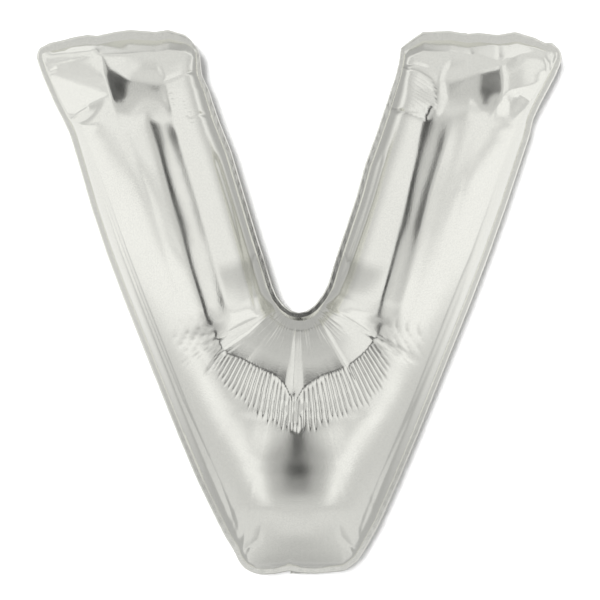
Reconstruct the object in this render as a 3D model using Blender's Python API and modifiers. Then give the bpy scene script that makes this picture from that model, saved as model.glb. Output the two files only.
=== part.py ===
# Letter foil balloon: a V blown up from two sheets of silver foil that are heat sealed round the edge.
# Metres, +Z up, front facing -Y. The origin is the middle of the foot, on the plane of the weld.

import math

import bmesh
import bpy
from mathutils import Matrix

MM = 0.001

# Driving sizes of the blown-up letter.
WELD_WIDTH = 9 * MM
WELD_HALF_THICKNESS = 1 * MM
SHEET_THICKNESS = 10 * MM
GAP = 0.3 * MM
SEAM_LIFT = WELD_HALF_THICKNESS + GAP
ARC_ANGLE = math.radians(71)
COLUMNS = 12
STEPS_BETWEEN_ROWS = 2
EASE_TURNS = 4
NOTCH_ROW = 12

# Level lines of the left half of the letter, from the top of the arm down to the foot, in millimetres.
# outer x, outer z: the outside edge. inner x, inner z: the inside edge of the arm, then the middle of the letter.
# crown: how far the sheet stands out. middle: how far an easy slope ends up standing out at the inner end.
# peak: where the crown lies from outer 0 to inner 1. soft: the share of the easy slope, 0 for a round inner side.
ROWS = (
    # outer x, outer z, inner x, inner z, crown, middle, peak, soft
    (456, 937, 179, 930, 0, 0, 0.65, 0.0),
    (465, 927, 177, 923, 31, 0, 0.65, 0.0),
    (469, 912, 174, 911, 46, 0, 0.62, 0.0),
    (460, 891, 172, 889, 58, 0, 0.59, 0.0),
    (444, 859, 160, 859, 69, 0, 0.55, 0.0),
    (421, 806, 143, 806, 81, 0, 0.53, 0.0),
    (396, 735, 118, 735, 86, 0, 0.50, 0.0),
    (373, 664, 95, 664, 88, 0, 0.50, 0.0),
    (351, 593, 75, 593, 88, 0, 0.50, 0.0),
    (330, 531, 54, 531, 89, 0, 0.50, 0.0),
    (314, 493, 38, 493, 89, 0, 0.50, 0.0),
    (307, 474, 22, 474, 89, 0, 0.50, 0.0),
    (303, 463, 0, 463, 89, 0, 0.48, 0.0),
    (295, 442, 0, 442, 89, 75, 0.49, 0.45),
    (284, 415, 0, 415, 89, 72, 0.51, 0.9),
    (270, 380, 0, 380, 90, 81, 0.56, 1.0),
    (252, 335, 0, 335, 97, 99, 0.70, 1.0),
    (231, 282, 0, 282, 102, 102, 0.76, 1.0),
    (204, 220, 0, 220, 99, 99, 0.76, 1.0),
    (181, 167, 0, 167, 101, 102, 0.78, 1.0),
    (158, 114, 0, 103, 98, 98, 0.80, 1.0),
    (136, 73, 0, 51, 75, 74, 0.80, 1.0),
    (123, 57, 0, 20, 54, 48, 0.80, 1.0),
    (114, 46, 0, 0, 0, 0, 0.80, 1.0),
)

# The seam across the top of the left arm, from its outer corner to its inner corner, as x and z in millimetres.
TOP_SEAM = (
    (456, 937), (444, 944), (422, 952), (399, 958), (355, 963), (302, 964),
    (266, 964), (240, 963), (217, 961), (201, 954), (186, 944), (179, 930),
)

# The seam round the left half of the foot, from its corner to the middle of the letter.
FOOT_SEAM = ((114, 46), (112, 36), (108, 24), (98, 11), (84, 3), (66, 0), (0, 0))

# The flap at the top of each arm, folded back behind it.
TAB_WIDTH = 26 * MM
TAB_REACH = 26 * MM
TAB_THICKNESS = 1 * MM
TAB_LEG = 5 * MM
TAB_HOLE_RADIUS = 3.5 * MM
TAB_HOLE_REACH = 19 * MM
TAB_X = 284 * MM
TAB_TOP = 961.5 * MM

# The filling strip at the foot, folded up behind the letter.
TAIL_WIDTH = 32 * MM
TAIL_THICKNESS = 2.4 * MM
SLEEVE_WIDTH = 18 * MM
SLEEVE_THICKNESS = 0.6 * MM
SLEEVE_SLOT = SLEEVE_THICKNESS + 2 * GAP
SLEEVE_SHOWS = 14 * MM


def start_empty():
    for thing in list(bpy.data.objects):
        bpy.data.objects.remove(thing, do_unlink=True)


def new_collection(name):
    group = bpy.data.collections.new(name)
    bpy.context.scene.collection.children.link(group)
    return group


def make_material(name, colour, metallic, roughness, alpha=1.0):
    material = bpy.data.materials.new(name)
    material.use_nodes = True
    shader = material.node_tree.nodes["Principled BSDF"]
    shader.inputs["Base Color"].default_value = (*colour, 1.0)
    shader.inputs["Metallic"].default_value = metallic
    shader.inputs["Roughness"].default_value = roughness
    shader.inputs["Alpha"].default_value = alpha
    return material


def foil_material(name):
    return make_material(name, (0.80, 0.80, 0.77), 1.0, 0.22)


def clear_film_material(name):
    return make_material(name, (0.86, 0.88, 0.88), 0.0, 0.15, 0.45)


def mix(a, b, t):
    return a + (b - a) * t


def mix_point(a, b, t):
    return tuple(mix(p, q, t) for p, q in zip(a, b))


def curve_between(before, start, end, after, t):
    """A smooth value at t between start and end, led by the values on either side."""
    lead = 0.5 * (end - before)
    leave = 0.5 * (after - start)
    rise = end - start
    return start + t * (lead + t * (3 * rise - 2 * lead - leave + t * (lead + leave - 2 * rise)))


def all_rows():
    """The level lines with smooth ones added between them, and the number of the notch's own line."""
    rows = []
    last = len(ROWS) - 1
    for i in range(last):
        joined = i in (NOTCH_ROW - 1, NOTCH_ROW)
        before = ROWS[i] if i == 0 or i == NOTCH_ROW else ROWS[i - 1]
        after = ROWS[i + 1] if i + 1 in (last, NOTCH_ROW) else ROWS[i + 2]
        for step in range(STEPS_BETWEEN_ROWS):
            t = step / STEPS_BETWEEN_ROWS
            row = [curve_between(*four, t) for four in zip(before, ROWS[i], ROWS[i + 1], after)]
            if joined:
                row[2] = mix(ROWS[i][2], ROWS[i + 1][2], t)
            rows.append(row)
    rows.append(list(ROWS[last]))
    return rows, NOTCH_ROW * STEPS_BETWEEN_ROWS


def spread_along(points, count):
    """The same line as count + 1 points an equal way apart."""
    lengths = [math.dist(a, b) for a, b in zip(points, points[1:])]
    total = sum(lengths)
    spread = []
    for i in range(count + 1):
        way = total * i / count
        k = 0
        while k < len(lengths) - 1 and way > lengths[k]:
            way -= lengths[k]
            k += 1
        spread.append(mix_point(points[k], points[k + 1], min(way / lengths[k], 1.0)))
    return spread


def inset_points(points, inset):
    """A line of the left half's edge moved inwards; the foil lies on its right hand as it runs."""
    moved = []
    for i, point in enumerate(points):
        before = points[max(i - 1, 0)]
        after = points[min(i + 1, len(points) - 1)]
        run = (after[0] - before[0], after[1] - before[1])
        length = math.hypot(*run)
        moved.append((point[0] + inset * run[1] / length, point[1] - inset * run[0] / length))
    return moved


def half_edges(inset):
    """The four edges of the left half sheet: outer, inner with the middle line, top seam and foot seam."""
    rows, notch = all_rows()
    outer = [(-row[0] * MM, row[1] * MM) for row in rows]
    inner = [(-row[2] * MM, row[3] * MM) for row in rows]
    top = spread_along([(-x * MM, z * MM) for x, z in TOP_SEAM], COLUMNS)
    foot = spread_along([(-x * MM, z * MM) for x, z in FOOT_SEAM], COLUMNS)
    round_line = outer[:0:-1] + top[:-1] + inner[:notch + 1]
    edge_line = inset_points(foot[:0:-1] + round_line + [(-inner[notch - 1][0], inner[notch - 1][1])], inset)
    foot_part = edge_line[:COLUMNS]
    outer_part = edge_line[COLUMNS:COLUMNS + len(rows) - 1]
    top_part = edge_line[COLUMNS + len(rows) - 1:2 * COLUMNS + len(rows) - 1]
    inner_part = edge_line[2 * COLUMNS + len(rows) - 1:-1]
    foot_part[0] = (0.0, inset)
    inner_part[-1] = (0.0, inner_part[-1][1])
    outer = [top_part[0]] + outer_part[::-1]
    top = top_part + [inner_part[0]]
    foot = [outer_part[0]] + foot_part[::-1]
    middle_top = inner_part[-1][1]
    drop = inner[notch][1]
    middle = [(0.0, mix(inset, middle_top, z / drop)) for x, z in inner[notch + 1:]]
    return outer, inner_part + middle, top, foot, rows, notch


def stand_out(row, u, cut):
    """Where a point at u lies across its level line, 0 to 1, and how far it stands out."""
    crown = max(row[4] * MM - cut, 0.0)
    middle = max(row[5] * MM - cut, 0.0)
    peak = row[6]
    soft = row[7]
    low = math.cos(ARC_ANGLE)
    if u < peak:
        angle = ARC_ANGLE * (1 - u / peak)
        across = peak * (1 - math.sin(angle) / math.sin(ARC_ANGLE))
        return across, crown * (math.cos(angle) - low) / (1 - low)
    s = (u - peak) / (1 - peak)
    angle = ARC_ANGLE * s
    round_across = peak + (1 - peak) * math.sin(angle) / math.sin(ARC_ANGLE)
    round_out = crown * (math.cos(angle) - low) / (1 - low)
    easy_across = mix(peak, 1.0, s)
    easy_out = mix(middle, crown, 0.5 + 0.5 * math.cos(math.pi * s))
    return mix(round_across, easy_across, soft), mix(round_out, easy_out, soft)


def half_sheet(inset, cut):
    """Points of the left half of a blown-out sheet, row by row, on the front side."""
    outer, inner, top, foot, rows, notch = half_edges(inset)
    last = len(rows) - 1
    grid = []
    for i, row in enumerate(rows):
        v = i / last
        line = []
        for j in range(COLUMNS + 1):
            u, out = stand_out(row, j / COLUMNS, cut)
            seam_u = j / COLUMNS
            point = []
            for axis in (0, 1):
                across = mix(outer[i][axis], inner[i][axis], u)
                top_bow = top[j][axis] - mix(top[0][axis], top[-1][axis], seam_u)
                foot_bow = foot[j][axis] - mix(foot[0][axis], foot[-1][axis], seam_u)
                near_top = max(1 - 4 * v, 0.0) ** 2
                near_foot = max(4 * v - 3, 0.0) ** 2
                point.append(across + top_bow * near_top + foot_bow * near_foot)
            if i in (0, last):
                point = list((top if i == 0 else foot)[j])
            if i in (0, last) or j == 0 or (j == COLUMNS and i <= notch):
                out = 0.0
            line.append((point[0], -SEAM_LIFT - out, point[1]))
        grid.append(line)
    return ease(grid, notch), notch


def ease(grid, notch):
    """Draws each inner point towards its four neighbours, as a tight film does; the edges stay."""
    last = len(grid) - 1
    for turn in range(EASE_TURNS):
        eased = [list(line) for line in grid]
        for i in range(1, last):
            for j in range(1, COLUMNS + 1):
                if j == COLUMNS and i <= notch:
                    continue
                across = grid[i][j - 1]
                beyond = grid[i][j + 1] if j < COLUMNS else (-across[0], across[1], across[2])
                near = (across, beyond, grid[i - 1][j], grid[i + 1][j])
                middle = tuple(sum(axis) / 4 for axis in zip(*near))
                eased[i][j] = mix_point(grid[i][j], middle, 0.5)
        grid = eased
    return grid


def add_mesh_object(name, mesh, material, group):
    thing = bpy.data.objects.new(name, mesh)
    thing.data.materials.append(material)
    group.objects.link(thing)
    return thing


def make_panel(name, side, group):
    """One sheet of foil: side is -1 for the front and 1 for the back."""
    outside, notch = half_sheet(WELD_WIDTH, 0.0)
    inside, notch = half_sheet(WELD_WIDTH + SHEET_THICKNESS, SHEET_THICKNESS)
    mesh = bpy.data.meshes.new(name)
    bm = bmesh.new()
    skins = [[[bm.verts.new(p) for p in line] for line in grid] for grid in (outside, inside)]
    last = len(outside) - 1
    for turn, skin in zip((1, -1), skins):
        for i in range(last):
            for j in range(COLUMNS):
                corners = (skin[i][j], skin[i + 1][j], skin[i + 1][j + 1], skin[i][j + 1])
                bm.faces.new(corners[::turn])
    rim = [(last, j) for j in range(COLUMNS, -1, -1)]
    rim += [(i, 0) for i in range(last - 1, -1, -1)]
    rim += [(0, j) for j in range(1, COLUMNS + 1)]
    rim += [(i, COLUMNS) for i in range(1, notch + 1)]
    for (i, j), (k, m) in zip(rim, rim[1:]):
        bm.faces.new((skins[0][i][j], skins[0][k][m], skins[1][k][m], skins[1][i][j]))
    if side > 0:
        for vert in bm.verts:
            vert.co.y = -vert.co.y
    bmesh.ops.recalc_face_normals(bm, faces=bm.faces)
    for face in bm.faces:
        face.smooth = True
    bm.to_mesh(mesh)
    bm.free()
    panel = add_mesh_object(name, mesh, foil_material(name + "_foil"), group)
    mirror = panel.modifiers.new("other_half", "MIRROR")
    mirror.use_axis = (True, False, False)
    mirror.use_clip = True
    mirror.merge_threshold = 0.00005
    mesh.set_sharp_from_angle(angle=math.radians(50))
    return panel


def edge_loop(inset):
    """The whole outline of the letter as one closed line, moved inwards by the inset."""
    outer, inner, top, foot, rows, notch = half_edges(inset)
    half = foot[::-1] + outer[-2:0:-1] + top + inner[1:notch + 1]
    return half + [(-x, z) for x, z in half[-2:0:-1]]


def flat_curve(name, loops, half_depth):
    """A flat shape with holes, filled on both sides and given a thickness."""
    curve = bpy.data.curves.new(name, "CURVE")
    curve.dimensions = "2D"
    curve.fill_mode = "BOTH"
    curve.extrude = half_depth
    for loop in loops:
        spline = curve.splines.new("POLY")
        spline.points.add(len(loop) - 1)
        for point, (a, b) in zip(spline.points, loop):
            point.co = (a, b, 0.0, 1.0)
        spline.use_cyclic_u = True
    return curve


def solid_from_curve(name, curve, turn, place, material, group):
    """The curve as a clean mesh object, turned and placed."""
    helper = bpy.data.objects.new(name + "_shape", curve)
    mesh = bpy.data.meshes.new_from_object(helper)
    bpy.data.objects.remove(helper)
    bpy.data.curves.remove(curve)
    mesh.name = name
    bm = bmesh.new()
    bm.from_mesh(mesh)
    bmesh.ops.remove_doubles(bm, verts=bm.verts, dist=0.000001)
    bmesh.ops.rotate(bm, verts=bm.verts, cent=(0, 0, 0), matrix=turn)
    bmesh.ops.translate(bm, verts=bm.verts, vec=place)
    bmesh.ops.recalc_face_normals(bm, faces=bm.faces)
    bm.to_mesh(mesh)
    bm.free()
    mesh.materials.clear()
    return add_mesh_object(name, mesh, material, group)


def upright():
    """Turns a flat curve so that it stands in the plane of the weld."""
    return Matrix(((1, 0, 0), (0, 0, -1), (0, 1, 0)))


def side_on():
    """Turns a flat curve so that its own x runs to the back, its y up and its depth across."""
    return Matrix(((0, 0, 1), (1, 0, 0), (0, 1, 0)))


def make_weld_flange(group):
    loops = (edge_loop(0.0), edge_loop(WELD_WIDTH + SHEET_THICKNESS))
    curve = flat_curve("weld_flange", loops, WELD_HALF_THICKNESS)
    return solid_from_curve("weld_flange", curve, upright(), (0, 0, 0), foil_material("weld_flange_foil"), group)


def strip_outline(path, thickness):
    """The outline of a bent strip seen from its side."""
    sides = ([], [])
    for i, point in enumerate(path):
        before = path[max(i - 1, 0)]
        after = path[min(i + 1, len(path) - 1)]
        run = (after[0] - before[0], after[1] - before[1])
        length = math.hypot(*run)
        for side, sign in zip(sides, (-0.5, 0.5)):
            side.append((point[0] - sign * thickness * run[1] / length,
                         point[1] + sign * thickness * run[0] / length))
    return sides[0] + sides[1][::-1]


def cut_away(thing, cutter, group):
    """Cuts one solid out of another; the cutter stays in its own hidden group."""
    group.objects.link(cutter)
    cutter.hide_render = True
    cutter.display_type = "WIRE"
    cut = thing.modifiers.new("cut", "BOOLEAN")
    cut.operation = "DIFFERENCE"
    cut.solver = "EXACT"
    cut.object = cutter


def make_hang_tab(name, x, group, cutters):
    """A flap welded to the back of the top seam and folded straight back, with a punched hole."""
    near = SEAM_LIFT
    outline = (
        (near, TAB_TOP - TAB_LEG),
        (near + TAB_THICKNESS, TAB_TOP - TAB_LEG),
        (near + TAB_THICKNESS, TAB_TOP - TAB_THICKNESS),
        (near + TAB_REACH, TAB_TOP - TAB_THICKNESS),
        (near + TAB_REACH, TAB_TOP),
        (near, TAB_TOP),
    )
    curve = flat_curve(name, (outline,), TAB_WIDTH / 2)
    tab = solid_from_curve(name, curve, side_on(), (x, 0, 0), foil_material(name + "_foil"), group)
    mesh = bpy.data.meshes.new(name + "_hole")
    bm = bmesh.new()
    bmesh.ops.create_cone(
        bm, cap_ends=True, segments=24, radius1=TAB_HOLE_RADIUS, radius2=TAB_HOLE_RADIUS, depth=6 * MM)
    bmesh.ops.translate(bm, verts=bm.verts, vec=(x, TAB_HOLE_REACH, TAB_TOP))
    bm.to_mesh(mesh)
    bm.free()
    cut_away(tab, bpy.data.objects.new(name + "_hole", mesh), cutters)
    return tab


def tail_path():
    """The line of the filling strip behind the foot, from its root out along the back sheet."""
    grid, notch = half_sheet(WELD_WIDTH, 0.0)
    last = len(grid) - 1
    clear = GAP + TAIL_THICKNESS
    path = [(SEAM_LIFT + TAIL_THICKNESS / 2, 1 * MM), (SEAM_LIFT + TAIL_THICKNESS / 2, 4 * MM)]
    for i in range(last - 1, last - 6, -1):
        here = grid[i][COLUMNS]
        above = grid[i - 1][COLUMNS]
        run = (here[1] - above[1], above[2] - here[2])
        length = math.hypot(*run)
        path.append((-here[1] + clear * run[1] / length, here[2] - clear * run[0] / length))
    return path


def part_of_path(path, start, reach):
    """The path from one of its points on, with its last piece made longer."""
    kept = path[start:]
    a, b = kept[-2], kept[-1]
    length = math.dist(a, b)
    end = tuple(q + (q - p) * reach / length for p, q in zip(a, b))
    return kept[:-1] + [end]


def make_tail(group, cutters):
    """The filling strip, a flat pocket, and the clear valve sleeve that looks out of its mouth."""
    path = tail_path()
    curve = flat_curve("inflation_tail", (strip_outline(path, TAIL_THICKNESS),), TAIL_WIDTH / 2)
    foil = foil_material("inflation_tail_foil")
    tail = solid_from_curve("inflation_tail", curve, side_on(), (0, 0, 0), foil, group)
    slot_path = part_of_path(path, 3, SLEEVE_SHOWS + 6 * MM)
    slot_half = SLEEVE_WIDTH / 2 + GAP
    curve = flat_curve("tail_slot", (strip_outline(slot_path, SLEEVE_SLOT),), slot_half)
    slot = solid_from_curve("tail_slot", curve, side_on(), (0, 0, 0), foil, cutters)
    cutters.objects.unlink(slot)
    cut_away(tail, slot, cutters)
    sleeve_path = part_of_path(path, 4, SLEEVE_SHOWS)
    curve = flat_curve("valve_sleeve", (strip_outline(sleeve_path, SLEEVE_THICKNESS),), SLEEVE_WIDTH / 2)
    film = clear_film_material("valve_sleeve_film")
    solid_from_curve("valve_sleeve", curve, side_on(), (0, 0, 0), film, group)


def main():
    start_empty()
    balloon = new_collection("letter_foil_balloon")
    cutters = new_collection("cutters")
    make_panel("front_panel", -1, balloon)
    make_panel("back_panel", 1, balloon)
    make_weld_flange(balloon)
    make_hang_tab("hang_tab_left", -TAB_X, balloon, cutters)
    make_hang_tab("hang_tab_right", TAB_X, balloon, cutters)
    make_tail(balloon, cutters)


main()
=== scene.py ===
import math

import bpy
import numpy as np
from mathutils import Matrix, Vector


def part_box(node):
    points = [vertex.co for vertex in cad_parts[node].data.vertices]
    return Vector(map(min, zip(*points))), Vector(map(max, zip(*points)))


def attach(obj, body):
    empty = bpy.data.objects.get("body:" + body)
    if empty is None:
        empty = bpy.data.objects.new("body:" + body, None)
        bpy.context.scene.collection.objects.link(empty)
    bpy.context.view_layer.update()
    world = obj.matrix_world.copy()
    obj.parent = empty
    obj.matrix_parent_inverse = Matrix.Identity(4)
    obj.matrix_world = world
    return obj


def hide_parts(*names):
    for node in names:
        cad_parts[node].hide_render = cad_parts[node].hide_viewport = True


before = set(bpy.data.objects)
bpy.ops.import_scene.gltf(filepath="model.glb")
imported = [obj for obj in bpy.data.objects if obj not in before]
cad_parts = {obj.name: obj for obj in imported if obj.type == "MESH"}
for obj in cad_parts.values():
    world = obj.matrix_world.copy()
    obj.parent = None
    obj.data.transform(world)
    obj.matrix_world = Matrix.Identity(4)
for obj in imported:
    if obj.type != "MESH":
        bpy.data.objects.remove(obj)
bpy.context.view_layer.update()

# Front sheet. The front of the letter, cut flat from plastic film with a metal coat and heat welded all round
# to the back sheet. Gas pushes it out, and because the film can't stretch it buckles into creases that run in
# from the weld, most of all round the notch.

# The photo is 600 pixels wide and takes in 1.065 m at the letter. Points on it are in pixels across and down,
# and heights are in pixels too.
PHOTO_WIDE = 1.065
PHOTO_PX = 600
PIXEL = PHOTO_WIDE / PHOTO_PX
MIDDLE_PX = 299.5
FOOT_PX = 574.5

# The edge of the letter: the inside edge from the left arm round the notch to the right arm, the outside edge
# by way of the foot, and the seam across the top of each arm.
INSIDE_EDGE = (
    (197, 48), (200, 55), (201, 65), (202, 75), (209, 90), (219, 120), (231, 150), (240, 180), (249, 210),
    (258, 240), (263, 255), (272, 285), (277, 297), (284, 306), (291, 311), (299, 313), (307, 311),
    (314, 306), (322, 296), (328, 285), (337, 255), (347, 225), (357, 195), (365, 165), (376, 135),
    (386, 105), (396, 75), (399, 62), (401, 48),
)
OUTSIDE_EDGE = (
    (40, 48), (37, 53), (37, 60), (42, 75), (55, 105), (63, 120), (70, 135), (79, 165), (92, 210), (107, 255),
    (124, 300), (142, 345), (160, 390), (178, 435), (197, 480), (219, 525), (227, 540), (234, 551),
    (239, 562), (245, 569), (253, 573), (262, 575), (275, 574), (290, 571), (299, 573), (315, 574),
    (325, 573), (345, 571), (357, 562), (364, 552), (379, 525), (399, 480), (418, 435), (436, 390),
    (454, 345), (472, 300), (489, 255), (505, 210), (520, 165), (530, 135), (533, 120), (540, 105), (548, 90),
    (556, 75), (562, 60), (561, 52), (558, 48),
)
LEFT_TOP_EDGE = (
    (197, 48), (190, 39), (185, 35), (168, 30), (155, 32), (130, 30), (115, 32), (97, 36), (88, 35), (75, 37),
    (60, 41), (50, 43), (40, 48),
)
RIGHT_TOP_EDGE = (
    (401, 48), (410, 41), (417, 36), (423, 32), (450, 31), (467, 34), (478, 33), (498, 35), (515, 32),
    (535, 38), (545, 43), (552, 43), (558, 48),
)
LINE_STEPS = 1200
CORNER_TURNS = 12

# Lines drawn across the letter from the inside edge to the outside edge. A row is a way round the letter from
# one arm's top to the other's, and inside and outside are ways along each edge. Where a line crosses the weld
# at a slant, the weld takes up to 1 / WELD_SLANT times its width of the line.
CROSS_LINES = (
    # row, inside, outside
    (0, 0, 0), (0.036, 0.05, 0.033), (0.136, 0.215, 0.135), (0.243, 0.43, 0.275), (0.29, 0.462, 0.33),
    (0.35, 0.478, 0.385), (0.42, 0.489, 0.438), (0.5, 0.5, 0.5), (0.58, 0.511, 0.562), (0.65, 0.522, 0.615),
    (0.71, 0.538, 0.67), (0.757, 0.57, 0.725), (0.864, 0.785, 0.865), (0.964, 0.95, 0.967), (1, 1, 1),
)
TOP_SEAM_FADE = 0.10
END_MARGIN = 0.0078
WELD_WIDE = 0.008875
WELD_PX = WELD_WIDE / PIXEL
WELD_SLANT = 0.5
ROWS = 800
COLUMNS = 120
ROW_SPREAD = (
    # share of the mesh's rows, row
    (0, 0), (0.1, 0.085), (0.2, 0.27), (0.36, 0.38), (0.64, 0.62), (0.8, 0.73), (0.9, 0.915), (1, 1),
)

# How far the crown of the sheet stands out in front of the weld, at points round the letter.
CROWN = (
    # row, height
    (0, 0), (0.012, 21), (0.036, 35), (0.07, 43), (0.12, 48), (0.2, 50.5), (0.27, 51), (0.38, 55), (0.5, 59),
    (0.62, 55), (0.73, 51), (0.8, 50.5), (0.88, 48), (0.93, 43), (0.964, 35), (0.988, 21), (1, 0),
)
# Between its welds the sheet is a soap film made fuller. Round the notch it leans towards the outside edge.
COARSE_ROWS = 101
COARSE_COLUMNS = 25
FULLEST_PX = 68
SOAP_FILM_HIGH = 2990
FULLNESS = 0.6
LEAN = 0.10
LEAN_ROWS = 0.12
LEAN_FROM = 0.35


def soften(values, turns, both_ways=False):
    """Evens out a line or the columns of a grid in place, and the grid's rows too if both_ways."""
    for turn in range(turns):
        values[1:-1] = 0.25 * values[:-2] + 0.5 * values[1:-1] + 0.25 * values[2:]
        if both_ways:
            values[:, 1:-1] = 0.25 * values[:, :-2] + 0.5 * values[:, 1:-1] + 0.25 * values[:, 2:]


def reach_along(line):
    """How far along a line each of its points is."""
    return np.r_[0, np.cumsum(np.linalg.norm(np.diff(line, axis=0), axis=1))]


def along(points, way, turns=CORNER_TURNS):
    """Points at a way of 0 to 1 along a line whose corners are rounded."""
    corners = np.array(points, float)
    reach = reach_along(corners)
    even = np.linspace(0, reach[-1], LINE_STEPS)
    line = np.c_[np.interp(even, reach, corners[:, 0]), np.interp(even, reach, corners[:, 1])]
    soften(line, turns)
    reach = reach_along(line)
    way = np.asarray(way) * reach[-1]
    return np.c_[np.interp(way, reach, line[:, 0]), np.interp(way, reach, line[:, 1])]


def smooth_table(x, table, column=1):
    """Values of a table's column at x, on a smooth curve that never overshoots its points."""
    xs = np.array([row[0] for row in table], float)
    ys = np.array([row[column] for row in table], float)
    step = np.diff(xs)
    slope = np.diff(ys) / step
    lean = np.zeros_like(ys)
    product = slope[:-1] * slope[1:]
    lean[1:-1] = np.where(product > 0, 2 * product / (slope[:-1] + slope[1:] + 1e-12), 0)
    lean[0] = slope[0]
    lean[-1] = slope[-1]
    i = np.clip(np.searchsorted(xs, x) - 1, 0, len(step) - 1)
    t = (x - xs[i]) / step[i]
    start = (1 + 2 * t) * (1 - t) ** 2 * ys[i] + t * (1 - t) ** 2 * step[i] * lean[i]
    end = t * t * (3 - 2 * t) * ys[i + 1] + t * t * (t - 1) * step[i] * lean[i + 1]
    return start + end


def across_letter(row, way):
    """Points of the flat letter, edge to edge, on each cross line."""
    inside = along(INSIDE_EDGE, smooth_table(row, CROSS_LINES, 1))
    outside = along(OUTSIDE_EDGE, smooth_table(row, CROSS_LINES, 2))
    flat = inside[:, None] * (1 - way)[..., None] + outside[:, None] * way[..., None]
    for edge, near in ((LEFT_TOP_EDGE, row / TOP_SEAM_FADE), (RIGHT_TOP_EDGE, (1 - row) / TOP_SEAM_FADE)):
        ends = along(edge, [0, 1])
        fade = np.clip(1 - near, 0, 1) ** 2
        for i in np.nonzero(fade)[0]:
            bow = along(edge, way[i]) - ends[0] * (1 - way[i])[:, None] - ends[1] * way[i][:, None]
            flat[i] += fade[i] * bow
    return flat


def closer_at_edges(even):
    """Even ways across the letter, drawn together near both edges."""
    return 0.5 * even + 0.25 * (1 - np.cos(math.pi * even))


def inside_weld(share, columns):
    """Even ways across the sheet, and a grid of the flat letter from weld to weld."""
    even = np.linspace(0, 1, columns)
    row = END_MARGIN + share * (1 - 2 * END_MARGIN)
    edges = across_letter(row, np.tile([0.0, 1.0], (len(row), 1)))
    run = edges[:, 1] - edges[:, 0]
    width = np.linalg.norm(run, axis=1)
    ways = []
    for side in (0, 1):
        tangent = np.gradient(edges[:, side], axis=0)
        tangent /= np.linalg.norm(tangent, axis=1, keepdims=True)
        square = np.abs(run[:, 0] * tangent[:, 1] - run[:, 1] * tangent[:, 0]) / width
        ways.append(WELD_PX / (width * np.clip(square, WELD_SLANT, 1)))
    start, end = ways[0][:, None], 1 - ways[1][:, None]
    way = start + (end - start) * closer_at_edges(even)[None, :]
    return even, across_letter(row, way)


def film_height(flat):
    """Height of a soap film over the letter, by finite elements on a coarse grid."""
    count_rows, count_columns = flat.shape[:2]
    number = np.arange(count_rows * count_columns).reshape(count_rows, count_columns)
    corners = number[:-1, :-1], number[1:, :-1], number[1:, 1:], number[:-1, 1:]
    a, b, c, d = [corner.ravel() for corner in corners]
    triangles = np.r_[np.c_[a, b, c], np.c_[a, c, d], np.c_[a, b, d], np.c_[b, c, d]]
    points = flat.reshape(-1, 2)
    p, q, r = points[triangles[:, 0]], points[triangles[:, 1]], points[triangles[:, 2]]
    sides = (r - q, p - r, q - p)
    double = np.abs(sides[0][:, 0] * sides[1][:, 1] - sides[0][:, 1] * sides[1][:, 0]) + 1e-9
    stiffness = np.zeros((number.size, number.size))
    push = np.zeros(number.size)
    for i in range(3):
        np.add.at(push, triangles[:, i], double / 6)
        for j in range(3):
            pull = (sides[i] * sides[j]).sum(-1) / (2 * double)
            np.add.at(stiffness, (triangles[:, i], triangles[:, j]), pull)
    free = np.zeros(flat.shape[:2], bool)
    free[1:-1, 1:-1] = True
    free = free.ravel()
    height = np.zeros(number.size)
    height[free] = np.linalg.solve(stiffness[np.ix_(free, free)], push[free])
    return height.reshape(count_rows, count_columns)


def finer(coarse, rows, columns):
    """A coarse grid read at other rows and columns, each given as shares, on a smooth surface."""
    for share in (rows, columns):
        at = share * (len(coarse) - 1)
        i = np.clip(at.astype(int), 0, len(coarse) - 2)
        t = (at - i)[:, None]
        padded = np.vstack([2 * coarse[:1] - coarse[1:2], coarse, 2 * coarse[-1:] - coarse[-2:-1]])
        before, here, there, after = padded[i], padded[i + 1], padded[i + 2], padded[i + 3]
        bend = 2 * before - 5 * here + 4 * there - after + t * (3 * (here - there) + after - before)
        coarse = (here + 0.5 * t * (there - before + t * bend)).T
    return coarse


def blown_up(row):
    """Flat points of the sheet and how far each stands out, in pixels."""
    even, flat = inside_weld(row, COLUMNS + 1)
    coarse = film_height(inside_weld(np.linspace(0, 1, COARSE_ROWS), COARSE_COLUMNS)[1])
    film = np.maximum(finer(coarse, row, even), 0)
    out = FULLEST_PX * np.tanh((film / SOAP_FILM_HIGH) ** FULLNESS)
    gain = smooth_table(row, CROWN) / np.maximum(out.max(axis=1), 1e-6)
    gain[0] = gain[1]
    gain[-1] = gain[-2]
    lean = LEAN * np.exp(-((row - 0.5) / LEAN_ROWS) ** 2)
    return flat, out * gain[:, None] * (1 + lean[:, None] * (even - LEAN_FROM))


# The fan of film under the notch slopes up to FAN_REACH in the middle, and beyond the FAN_MIDDLE angles to
# where the pleats start. It dies out between the FAN_SIDES angles. Angles are degrees from straight down.
NOTCH_CENTRE = (299.5, 296.0)
NOTCH_RADIUS = 22.0
GATHERS = (
    # angle from straight down, inner radius, outer radius
    (-75, 90, 96), (-62, 92, 100), (-53, 92, 110), (-46, 87, 114), (-39, 83, 117), (-30, 82, 120),
    (-21, 82, 124), (-10, 90, 130), (-3, 103, 132), (3, 92, 132), (9, 87, 130), (19, 83, 126), (31, 84, 127),
    (41, 84, 122), (56, 85, 110), (64, 86, 100), (75, 88, 94),
)
FAN_SLOPE = (
    # way from the notch to the fan's outer ridge, share of the ridge's height
    (0, 0), (0.057, 0.24), (0.126, 0.405), (0.218, 0.556), (0.333, 0.667), (0.448, 0.734), (0.586, 0.806),
    (0.724, 0.877), (0.862, 0.9405), (1, 1), (1.1, 1.042), (1.2, 1.085), (1.3, 1.126), (1.4, 1.165),
)
FAN_REACH = 84.0
FAN_MIDDLE = (12, 24)
FAN_SIDES = (48, 74)
RIDGE_TURNS = 8
CREST_PX = 11.0
CREST_FADE_PX = 12

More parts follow.
